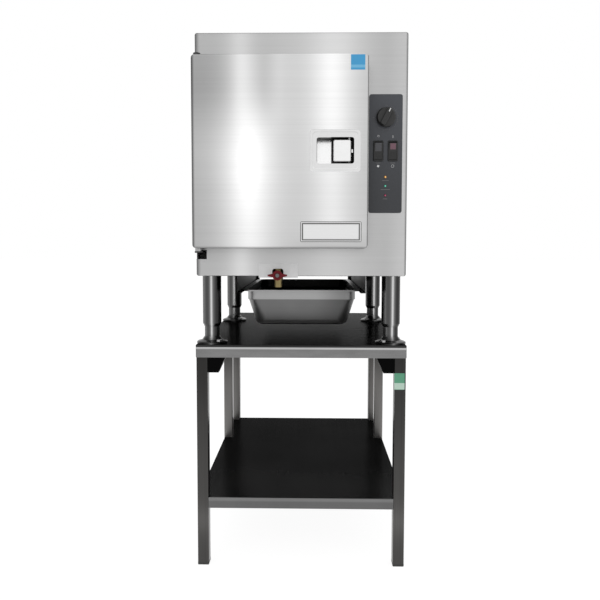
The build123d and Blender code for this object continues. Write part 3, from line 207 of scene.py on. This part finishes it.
def door_painted_light(steel):
    """Painted light and shade: two soft bands of painted reflection down the door, painted shade over
    the upper left and painted dark reflections on the turned edges.
    """
    x, y, z = steel.axes()
    low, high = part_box("door_shell")
    rise = (z - low[2]) / (high[2] - low[2])
    first = x.ridge(-0.132, 0.085) * (0.24 + 0.26 * rise.ridge(0.42, 0.42)) * 1.15
    second = x.ridge(0.078, 0.075) * (0.29 + 0.13 * rise.ramp(0.2, 0.75)) * rise.ramp(0.0, 0.10)
    bands = first + second + 0.10 * x.ramp(-0.25, -0.10)
    corner_shade = rise.ramp(0.5, 0.88) * (1.0 - x.ramp(-0.10, -0.045))
    shaded = 1.0 - corner_shade * (0.36 - 0.22 * x.ridge(-0.15, 0.04))
    # Painted dark reflections on the turned side edges, and painted shade along the foot.
    edge = (x - low[0]).ramp(0.002, 0.009) * (high[0] - x).ramp(0.0005, 0.0045)
    foot = (z - low[2]).ramp(0.0, 0.007)
    swirl = steel.noise((9.0, 9.0, 1.4), 2.0, 3.0)
    level = (0.40 + bands + 0.05 * (swirl - 0.5)) * shaded
    return level * (0.25 + 0.75 * edge) * (0.55 + 0.45 * foot)


def frame_painted_light(steel):
    """The frame round the door: two soft bands of painted reflection, painted shade over the upper
    left and painted dark reflections on the rounded edges.
    """
    x, y, z = steel.axes()
    low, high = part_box("front_frame")
    # Painted dark reflections on the rounded side edges and along the top edge.
    edge = (x - low[0]).ramp(0.0, 0.014) * (high[0] - x).ramp(0.001, 0.007)
    top = (high[2] - z).ramp(0.0, 0.006)
    upper = (z - low[2]).ramp(0.0, high[2] - low[2])
    bands = 0.46 * x.ridge(-0.155, 0.05) + (0.26 + 0.19 * upper) * x.ridge(0.086, 0.11)
    bands = bands + 0.14 * x.ramp(0.21, 0.27)
    swirl = steel.noise((7.0, 7.0, 2.0), 2.0, 8.0)
    shaded = 1.0 - 0.22 * upper * (1.0 - x.ramp(-0.16, -0.03))
    level = (0.84 + bands + 0.10 * (swirl - 0.5)) * shaded
    return level * (0.30 + 0.70 * edge) * (0.75 + 0.25 * top)


def apron_painted_light_and_wear(steel):
    """Apron with a painted highlight line under its turned edge, painted shade on that edge, and a
    duller, handled face.
    """
    below = steel.axes()[2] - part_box("stand_top")[1][2]
    # Painted highlight line below the turned edge, and painted shade over the edge itself.
    lit = (below + 0.0125).ramp(0.0, 0.002)
    turned = (below + 0.0070).ramp(0.0, 0.0012)
    dull = steel.noise((12.0, 12.0, 60.0), 4.0, 2.0)
    return (0.62 + 0.80 * lit + 0.35 * (dull - 0.5)) * (1.0 - 0.92 * turned)


def upward_painted_reflection(steel, dark):
    """Painted dark reflection: keeps a sheet's upward faces dark and lets its upright faces stay
    light.
    """
    up = steel.facing()[2]
    return 1.0 - (1.0 - dark) * up.ramp(0.45, 0.65)


def stand_top_painted_light(steel):
    # Painted highlight and shade of the apron, with painted dark reflection on the upward faces.
    return apron_painted_light_and_wear(steel) * upward_painted_reflection(steel, 0.9)


def shelf_painted_light(steel):
    below = steel.axes()[2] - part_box("stand_shelf")[1][2]
    # Painted highlight along the shelf's top 12 mm, and painted dark reflection on its upward faces.
    lit = (below + 0.012).ramp(0.0, 0.004)
    clouds = steel.noise((6.0, 2.0, 6.0), 3.0, 4.0)
    return (0.42 + 0.16 * lit + 0.2 * (clouds - 0.5)) * upward_painted_reflection(steel, 0.42)


def post_painted_shade(steel):
    """Dark uprights with painted shade and light: darkest under the top, lightest over the feet, and
    lighter at the rear.
    """
    y, z = steel.axes()[1:]
    wear = steel.noise((30.0, 30.0, 4.0), 3.0, 6.0)
    fall = 0.55 + 0.65 * (1.0 - z.ramp(0.22, 0.62)) + 0.75 * z.ridge(0.125, 0.06)
    rear = y.ramp(-0.1, 0.1) * (1.0 - z.ramp(0.36, 0.55))
    return (fall + 0.4 * (wear - 0.5)) * (1.0 + 2.0 * rear)


def tube_painted_highlight(steel):
    """Round legs: painted dark reflections on the sides and one narrow painted highlight down the
    front.
    """
    side = steel.facing()[0]
    line = side.ridge(0.08, 0.16)
    return 0.10 + 0.95 * line + 0.12 * side.ridge(-0.70, 0.16) - 0.05 * side.ramp(0.3, 0.6)


def foot_painted_light(steel):
    """The legs' lower parts: the tubes' painted highlight and dark sides, darker towards the bottom
    over the flanges.
    """
    above = steel.axes()[2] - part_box("leg_feet")[0][2]
    return tube_painted_highlight(steel) * (0.22 + 0.78 * above.ramp(0.006, 0.028))


def pan_painted_light(steel):
    """Deep-drawn pan: painted light on the rim and a band below it over a darker body, painted shade
    inside and over its right side, and painted light on its underside.
    """
    x, y, z = steel.axes()
    middle_x, middle_y, _ = middle("drain_pan")
    rim_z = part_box("drain_pan")[1][2]
    band = (z - rim_z + 0.0275).ramp(0.0, 0.003)
    out_x, out_y, up = steel.facing()
    walls = ((middle_x - x) * out_x + (middle_y - y) * out_y).ramp(0.005, 0.02)
    floor = up.ramp(0.5, 0.8) * (rim_z - z).ramp(0.003, 0.006)
    inside = (walls + floor).at_most(1.0)
    under = (up * -1.0).ramp(0.3, 0.7)
    marks = steel.noise((14.0, 14.0, 14.0), 3.0, 9.0)
    # Painted shade towards the pan's right side.
    shade = 1.0 - 0.45 * x.ramp(0.02, 0.14)
    level = (0.82 + band + 0.20 * (marks - 0.5)) * shade
    # Painted shade inside the pan, and painted light on its underside.
    return level * (1.0 - 0.93 * inside) * (1.0 + 3.4 * under)


def plain_metal(name, colour, roughness, scale=60.0, depth=0.15):
    """Machined or cast metal with a light variation of tone and gloss."""
    metal = Finish(name, colour, roughness, METALLIC)
    grain = metal.noise((scale, scale, scale), 4.0)
    metal.paint(1.0 + depth * (grain - 0.5))
    metal.set("Roughness", roughness + 0.15 * (grain - 0.5))
    return metal


def moulded(name, colour, roughness=0.45, scale=900.0, depth=0.05, **constants):
    """Moulded plastic or paint with a fine tooth."""
    plastic = Finish(name, colour, roughness, 0.0, **constants)
    tooth = plastic.noise((scale, scale, scale), 2.0)
    clouds = plastic.noise((25.0, 25.0, 25.0), 2.0, 7.0)
    plastic.paint(1.0 + 0.25 * (clouds - 0.5) + 0.1 * (tooth - 0.5))
    plastic.set("Roughness", roughness + 0.2 * (clouds - 0.5))
    plastic.relief(tooth, depth, 0.0003)
    return plastic


def wool(name, colour):
    """Pressed insulating wool."""
    mat = Finish(name, colour, 0.95)
    fibre = mat.noise((180.0, 180.0, 180.0), 6.0)
    mat.paint(0.8 + 0.4 * fibre)
    mat.relief(fibre, 0.6, 0.002)
    return mat


def lens(node, colour, glow):
    """Lamp lens with a painted highlight at its middle where a dome would catch the light, glowing
    faintly there too.
    """
    lamp = Finish(node + "_lens", colour, 0.2, 0.0, Coat_Weight=0.5)
    x, y, z = lamp.axes()
    cx, _, cz = middle(node)
    off = ((x - cx) ** 2.0 + (z - cz) ** 2.0) ** 0.5
    dome_highlight = 1.0 - off.ramp(0.0003, 0.0026)
    lamp.paint(0.55 + 0.9 * dome_highlight)
    lamp.set("Emission Color", lamp.scaled(glow, dome_highlight))
    lamp.set("Emission Strength", 0.6)
    return lamp


def badge_finish():
    """Plain light plate with a fine dark border line and a dark rim."""
    plate = Finish("badge_metal", grey(226), 0.35, 0.3)
    low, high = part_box("badge_plate")
    x, y, z = plate.axes()
    cx, _, cz = middle("badge_plate")
    half_x, half_z = (high[0] - low[0]) / 2, (high[2] - low[2]) / 2
    inward = (half_x - abs(x - cx)).at_most(half_z - abs(z - cz))
    line = inward.ridge(0.0052, 0.0016)
    rim = 1.0 - inward.ramp(0.0006, 0.0022)
    grain = plate.noise(GRAIN["X"], 3.0)
    mask = (1.3 * line + rim).at_most(1.0)
    light = plate.scaled(grey(232), 1.0 + 0.08 * (grain - 0.5))
    plate.set("Base Color", plate.mix(mask, light, grey(34)))
    plate.relief(mask * -1.0, 0.4, 0.0006)
    return plate


def control_finish():
    """Dark bluish panel, lighter towards the top, with a matt film texture."""
    film = Finish("control_film", (0.050, 0.054, 0.064), 0.42, 0.0)
    low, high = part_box("control_panel")
    rise = (film.axes()[2] - low[2]).ramp(0.0, high[2] - low[2])
    fleck = film.noise((420.0, 420.0, 420.0), 3.0)
    film.paint(0.48 + 0.50 * rise + 0.35 * (fleck - 0.5))
    film.set("Roughness", 0.42 + 0.2 * (fleck - 0.5))
    film.relief(fleck, 0.08, 0.0003)
    return film


def rocker_finish(node, colour, window):
    """Black button whose upper half is a dull window of another colour; on the left button that grey
    window is a painted sheen.
    """
    black = (0.006, 0.006, 0.006)
    button = Finish(node + "_moulding", black, 0.35)
    x, y, z = button.axes()
    cx, _, cz = middle(node)
    half, bottom, top = window
    inside = 1.0
    for depth in (half - abs(x - cx), z - cz - bottom, cz + top - z):
        inside = inside * depth.ramp(-0.0003, 0.0006)
    cloud = button.noise((220.0, 220.0, 220.0), 3.0)
    button.set("Base Color", button.mix(inside, black, colour))
    button.set("Roughness", 0.35 + 0.15 * (cloud - 0.5))
    return button


finishes = {
    "door_shell": brushed("door_steel", grey(255), 0.34, "X", 0.10, 0.04, door_painted_light),
    "front_frame": brushed("frame_steel", grey(188), 0.36, "X", 0.12, 0.05, frame_painted_light),
    # Painted dark reflection: the stand's top, shelf and posts get darker base colours and darkened
    # specular tints than the cabinet's steel of the same kind.
    "stand_top": brushed("stand_top_steel", grey(150), 0.24, "X", 0.12, 0.10, stand_top_painted_light,
                         Specular_Tint=(0.05, 0.05, 0.05, 1.0)),
    "stand_shelf": brushed("shelf_steel", grey(148), 0.22, "Y", 0.10, 0.10, shelf_painted_light,
                           Specular_Tint=(0.22, 0.22, 0.22, 1.0)),
    "stand_posts": brushed("post_steel", grey(66, 0.03), 0.30, "Z", 0.30, 0.2, post_painted_shade),
    "leg_tubes": brushed("tube_steel", grey(200), 0.22, "Z", 0.10, 0.05, tube_painted_highlight),
    "leg_feet": brushed("foot_steel", grey(205), 0.24, "Z", 0.08, 0.08, foot_painted_light),
    "drain_pan": brushed("pan_steel", grey(118), 0.34, "X", 0.10, 0.08, pan_painted_light),
    "badge_plate": badge_finish(),
    "control_panel": control_finish(),
    # Painted sheen: the left button's upper half is given a grey window where its smooth face catches
    # the light.
    "rocker_left": rocker_finish("rocker_left", (0.055, 0.055, 0.062), (0.0082, 0.0, 0.0225)),
    "rocker_right": rocker_finish("rocker_right", (0.16, 0.075, 0.10), (0.0072, 0.0045, 0.0195)),
    "lamp_amber": lens("lamp_amber", (0.75, 0.36, 0.08), (1.0, 0.6, 0.2)),
    "lamp_green": lens("lamp_green", (0.05, 0.36, 0.25), (0.2, 0.8, 0.55)),
    "lamp_red": lens("lamp_red", (0.22, 0.015, 0.05), (0.5, 0.05, 0.15)),
}
shared = {
    brushed("panel_steel", grey(182), 0.36, "Z", 0.12, 0.08): (
        "side_panel_left", "side_panel_right", "rear_panel", "base_panel", "control_bulkhead"),
    brushed("cover_steel", grey(186), 0.36, "X", 0.12, 0.08): ("top_cover",),
    brushed("liner_steel", grey(176), 0.30, "Z", 0.10, 0.08): (
        "cavity_liner", "door_liner", "pan_racks", "steam_vent"),
    # Painted shade: these two steels are darkened to stand for parts that are seen only in shadow.
    brushed("shaded_steel", grey(14), 0.5, "Y", 0.2, 0.1): ("pan_slides", "post_gussets"),
    brushed("dark_steel", grey(60), 0.34, "Y", 0.2, 0.1): (
        "stand_channel", "hinge_brackets", "latch_hook", "paddle_spring"),
    plain_metal("polished_bezel", grey(222), 0.14, 90.0, 0.08): ("handle_bezel",),
    plain_metal("bright_cup", grey(252), 0.2, 60.0, 0.03): ("handle_cup",),
    plain_metal("bright_paddle", grey(240), 0.18, 60.0, 0.05): ("handle_paddle",),
    plain_metal("fastener_steel", grey(160), 0.3): (
        "leg_bolts", "hinge_pins", "latch_pins", "latch_strike", "cover_screws", "timer_shaft"),
    plain_metal("stem_steel", grey(105), 0.4): ("valve_stem",),
    plain_metal("cast_aluminium", grey(130), 0.6, 200.0, 0.3): ("heater_plate",),
    plain_metal("plain_brass", (0.24, 0.19, 0.09), 0.45, 120.0, 0.35): (
        "drain_valve_body", "drain_pipe", "water_inlet", "hinge_bushes"),
    moulded("gasket_rubber", (0.012, 0.012, 0.012), 0.7): ("door_gasket",),
    moulded("sole_plastic", (0.03, 0.03, 0.028), 0.6): ("post_end_caps",),
    moulded("housing_black", (0.006, 0.006, 0.006), 0.6): ("latch_housing",),
    moulded("knob_black", (0.010, 0.010, 0.010), 0.42): ("timer_knob",),
    moulded("switch_black", (0.008, 0.008, 0.008), 0.35): ("switch_frames",),
    moulded("electrical_grey", (0.05, 0.05, 0.055), 0.5): (
        "timer_body", "contactor", "supply_gland"),
    moulded("terminal_cream", (0.6, 0.58, 0.5), 0.5): ("terminal_block",),
    moulded("valve_red", (0.12, 0.004, 0.009), 0.5, 500.0, 0.05, Specular_IOR_Level=0.2): (
        "valve_handle",),
    moulded("pale_enamel", grey(212), 0.4, 300.0, 0.03): ("valve_plate",),
    wool("mineral_wool", (0.62, 0.55, 0.33)): ("insulation", "door_core"),
}
for finish, nodes in shared.items():
    for node in nodes:
        finishes[node] = finish

for node, finish in finishes.items():
    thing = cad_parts[node]
    thing.data.materials.clear()
    thing.data.materials.append(finish.material)


# Small printed and moulded details

def piece(name, build, finish, body, bevel=0.0):
    """One mesh piece that rides on a body."""
    mesh = bpy.data.meshes.new(name)
    bm = bmesh.new()
    build(bm)
    bmesh.ops.recalc_face_normals(bm, faces=bm.faces)
    bm.to_mesh(mesh)
    bm.free()
    thing = bpy.data.objects.new(name, mesh)
    bpy.context.scene.collection.objects.link(thing)
    mesh.materials.append(finish.material)
    if bevel:
        cut = thing.modifiers.new("edges", "BEVEL")
        cut.width = bevel
        cut.segments = 2
    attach(thing, body)


def bar(bm, centre, size, turn=0.0):
    """A thin bar of a given size, turned about its centre in the front plane."""
    spin = Matrix.Rotation(turn, 4, "Y")
    scale = Matrix.Diagonal((*size, 1.0))
    bmesh.ops.create_cube(bm, size=1.0, matrix=Matrix.Translation(centre) @ spin @ scale)


PRINT = 0.0001
LABEL = 0.0003
RING_DASHES = 14
ROCKER_FACE_Y = -0.3612
DOOR_LABEL_X, DOOR_LABEL_Z = (0.1235, 0.1588), (1.2968, 1.3338)
POST_LABEL_X, POST_LABEL_Z = (0.2475, 0.2745), (0.483, 0.527)
panel_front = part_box("control_panel")[0][1]
knob_x, _, knob_z = middle("timer_knob")
knob_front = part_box("timer_knob")[0][1]
ink = moulded("printed_grey", grey(112), 0.6, 300.0, 0.02)
white_ink = moulded("printed_white", grey(225), 0.5, 300.0, 0.02)


def printed(bm, x, z, width, height, turn=0.0):
    """A flat mark on the control panel."""
    bar(bm, (x, panel_front - PRINT / 2, z), (width, PRINT, height), turn)


def dial_marks(bm):
    """Minute marks round three quarters of the dial, every third one longer."""
    for i in range(31):
        angle = math.radians(i * 9.0)
        length = 0.0034 if i % 3 == 0 else 0.0018
        radius = 0.0295 + length / 2
        printed(bm, knob_x + radius * math.sin(angle), knob_z + radius * math.cos(angle),
                0.0007, length, angle)


def ring(bm, x, z, radius):
    """A circle of short dashes."""
    for i in range(RING_DASHES):
        angle = math.tau * i / RING_DASHES
        printed(bm, x + radius * math.sin(angle), z + radius * math.cos(angle),
                radius * 0.5, 0.0006, angle)


def switch_marks(bm):
    """Plain marks over and under the two switches."""
    z = middle("switch_frames")[2]
    left, right = (middle(node)[0] for node in ("rocker_left", "rocker_right"))
    ring(bm, left, z + 0.0375, 0.0024)
    printed(bm, right, z + 0.0365, 0.0009, 0.0065)
    printed(bm, left, z - 0.0385, 0.0052, 0.0052, 0.3)
    ring(bm, right, z - 0.0385, 0.0034)


def caption_bars(bm):
    """Faint plain bars where the panel's captions sit."""
    z = middle("switch_frames")[2]
    for node in ("rocker_left", "rocker_right"):
        printed(bm, middle(node)[0], z - 0.0305, 0.0125, 0.0012)
    for node, width in (("lamp_amber", 0.017), ("lamp_green", 0.023), ("lamp_red", 0.011)):
        x, _, up = middle(node)
        printed(bm, x, up - 0.0088, width, 0.0011)


def pointer(bm):
    """White line at the grip's upper end."""
    angle = math.radians(27.0)
    radius = 0.0172
    spot = (knob_x + radius * math.sin(angle), knob_front - PRINT, knob_z + radius * math.cos(angle))
    bar(bm, spot, (0.0024, 0.0006, 0.0095), angle)


def rocker_ribs(node):
    """Upright ribs on the lower half of a rocker's face."""
    z = middle("switch_frames")[2] - 0.0112

    def build(bm):
        for i in range(7):
            x = middle(node)[0] + 0.0023 * (i - 3)
            bar(bm, (x, ROCKER_FACE_Y - 0.0002, z), (0.0011, 0.0006, 0.0175))
    return build


def label(node, across, up):
    """A thin label stuck on a node's front."""
    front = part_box(node)[0][1]

    def build(bm):
        bar(bm, (sum(across) / 2, front - LABEL / 2, sum(up) / 2),
            (across[1] - across[0], LABEL, up[1] - up[0]))
    return build


def label_finish(name, colour, light, field, up):
    """Plain paper label: one colour, with a paler field over a share of its height."""
    paper = Finish(name, colour, 0.45)
    share = (paper.axes()[2] - up[0]) / (up[1] - up[0])
    start, stop = field
    pale = share.ramp(start, start + 0.03) * (1.0 - share.ramp(stop - 0.03, stop))
    fibre = paper.noise((600.0, 600.0, 600.0), 3.0)
    paper.set("Base Color", paper.mix(pale, colour, light))
    paper.set("Roughness", 0.45 + 0.1 * (fibre - 0.5))
    return paper


piece("dial_marks", dial_marks, ink, "cabinet")
piece("switch_marks", switch_marks, white_ink, "cabinet")
piece("caption_bars", caption_bars, ink, "cabinet")
for side in ("left", "right"):
    node = "rocker_" + side
    piece("ribs_" + side, rocker_ribs(node), finishes[node], node)
piece("knob_pointer", pointer, white_ink, "knob", 0.0002)
blue = label_finish("label_blue", (0.05, 0.33, 0.62), (0.16, 0.47, 0.72), (0.12, 0.34), DOOR_LABEL_Z)
green = label_finish("label_green", (0.10, 0.33, 0.20), (0.50, 0.66, 0.56), (0.0, 0.42), POST_LABEL_Z)
piece("rating_label", label("door_shell", DOOR_LABEL_X, DOOR_LABEL_Z), blue, "door")
piece("post_label", label("stand_posts", POST_LABEL_X, POST_LABEL_Z), green, "stand")


# Floor, camera and light

FLOOR_SEEN, FLOOR_MIRRORED, FLOOR_GLOW = 0.80, 0.93, 1.15
SKY_LIGHT, SKY_SEEN = 0.75, 1.0
EYE = (0.0266, -1.94895, 0.8683)
LAMPS = (("key_light", (-1.6, -3.2, 3.2), (0.0, 0.0, 0.8), 2.2, 18.0),
         ("fill_light", (2.4, -2.6, 1.6), (0.0, 0.0, 0.7), 2.0, 8.0))


def studio():
    """White floor that keeps the shadow, a white backdrop and two soft lamps."""
    floor_mesh = bpy.data.meshes.new("studio_floor")
    bm = bmesh.new()
    bmesh.ops.create_grid(bm, x_segments=1, y_segments=1, size=30.0)
    bm.to_mesh(floor_mesh)
    bm.free()
    floor = bpy.data.objects.new("studio_floor", floor_mesh)
    bpy.context.scene.collection.objects.link(floor)
    white = Finish("floor_white", (0.90, 0.90, 0.90), 0.9)
    tree = white.tree
    seen = white.make("ShaderNodeLightPath", out="Is Camera Ray")
    mirrored = white.make("ShaderNodeLightPath", out="Is Glossy Ray")
    share = FLOOR_SEEN * seen + FLOOR_MIRRORED * mirrored
    output = next(n for n in tree.nodes if n.type == "OUTPUT_MATERIAL")
    glow = tree.nodes.new("ShaderNodeEmission")
    glow.inputs["Strength"].default_value = FLOOR_GLOW
    mixer = tree.nodes.new("ShaderNodeMixShader")
    tree.links.new(share.socket, mixer.inputs[0])
    tree.links.new(white.shader.outputs[0], mixer.inputs[1])
    tree.links.new(glow.outputs[0], mixer.inputs[2])
    tree.links.new(mixer.outputs[0], output.inputs[0])
    floor_mesh.materials.append(white.material)

    world = bpy.data.worlds.new("studio_world")
    bpy.context.scene.world = world
    world.use_nodes = True
    nodes, links = world.node_tree.nodes, world.node_tree.links
    back = next(n for n in nodes if n.type == "BACKGROUND")
    back.inputs["Color"].default_value = (1.0, 1.0, 1.0, 1.0)
    paths = nodes.new("ShaderNodeLightPath")
    seen = nodes.new("ShaderNodeMath")
    seen.operation = "MAXIMUM"
    links.new(paths.outputs["Is Camera Ray"], seen.inputs[0])
    either = nodes.new("ShaderNodeMath")
    either.operation = "MAXIMUM"
    links.new(paths.outputs["Is Glossy Ray"], either.inputs[0])
    links.new(paths.outputs["Is Transmission Ray"], either.inputs[1])
    links.new(either.outputs[0], seen.inputs[1])
    strength = nodes.new("ShaderNodeMapRange")
    strength.inputs["To Min"].default_value = SKY_LIGHT
    strength.inputs["To Max"].default_value = SKY_SEEN
    links.new(seen.outputs[0], strength.inputs["Value"])
    links.new(strength.outputs[0], back.inputs["Strength"])

    for name, spot, aim, size, power in LAMPS:
        light = bpy.data.lights.new(name, "AREA")
        light.size = size
        light.energy = power
        lamp = bpy.data.objects.new(name, light)
        lamp.location = spot
        lamp.rotation_euler = (Vector(aim) - Vector(spot)).to_track_quat("-Z", "Y").to_euler()
        bpy.context.scene.collection.objects.link(lamp)


def camera():
    """The photograph's viewpoint: a little above door-handle height, looking slightly down."""
    lens_px, size_px, axis_row = 612.0, 600.0, 279.2
    pitch, yaw, roll = (math.radians(v) for v in (3.31, -1.04, 0.08))
    level = math.cos(pitch)
    forward = Vector((math.sin(yaw) * level, math.cos(yaw) * level, -math.sin(pitch)))
    right = Vector((math.cos(yaw), -math.sin(yaw), 0.0))
    up = right.cross(forward)
    across = right * math.cos(roll) + up * math.sin(roll)
    upward = up * math.cos(roll) - right * math.sin(roll)
    view = bpy.data.cameras.new("viewpoint")
    view.sensor_width = 36.0
    view.lens = 36.0 * lens_px / size_px
    view.shift_y = (axis_row - size_px / 2) / size_px
    view.clip_end = 60.0
    eye = bpy.data.objects.new("viewpoint", view)
    turn = Matrix((across, upward, -forward)).transposed().to_4x4()
    eye.matrix_world = Matrix.Translation(EYE) @ turn
    bpy.context.scene.collection.objects.link(eye)
    bpy.context.scene.camera = eye


studio()
camera()
bpy.context.scene.view_settings.view_transform = "Standard"
